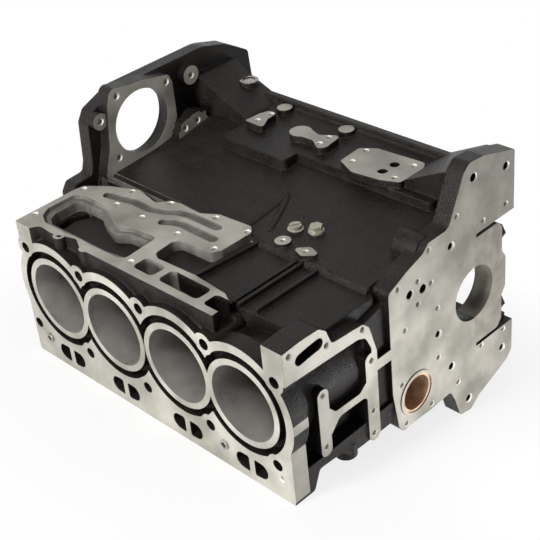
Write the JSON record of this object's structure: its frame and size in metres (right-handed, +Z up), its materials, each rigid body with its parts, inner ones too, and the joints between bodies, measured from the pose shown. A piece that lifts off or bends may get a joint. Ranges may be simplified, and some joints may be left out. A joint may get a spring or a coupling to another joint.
{
  "type": "engine block",
  "caption": "Cast iron in-line diesel cylinder block lying on its side, with siamesed bores, oil cooler face, gear case, bearing caps and camshaft bushes.",
  "frame": {"origin": "crankshaft axis at the machined front face", "axes": "+X along the crankshaft out of the front end, +Z up as the block lies on its camshaft side, -Y towards the head deck, which leans 11.6 degrees from upright"},
  "size_m": [0.5315, 0.4903, 0.3817],
  "materials": {
    "block_iron": "black painted casting with bare machined faces",
    "cap_iron": "machined cast iron",
    "bolt_steel": "blackened steel",
    "bush_bronze": "machined bronze",
    "dowel_steel": "bare steel",
    "plug_zinc": "zinc plated steel"
  },
  "bodies": {
    "root": {"block": "block_iron", "main_cap_1": "cap_iron", "cap_bolts_1": "bolt_steel", "main_cap_2": "cap_iron", "cap_bolts_2": "bolt_steel", "main_cap_3": "cap_iron", "cap_bolts_3": "bolt_steel", "main_cap_4": "cap_iron", "cap_bolts_4": "bolt_steel", "main_cap_5": "cap_iron", "cap_bolts_5": "bolt_steel", "cam_bush_1": "bush_bronze", "deck_dowel_1": "dowel_steel", "deck_dowel_2": "dowel_steel", "hex_plug": "plug_zinc", "slotted_plug": "plug_zinc", "core_plug": "dowel_steel"}
  },
  "joints": []
}
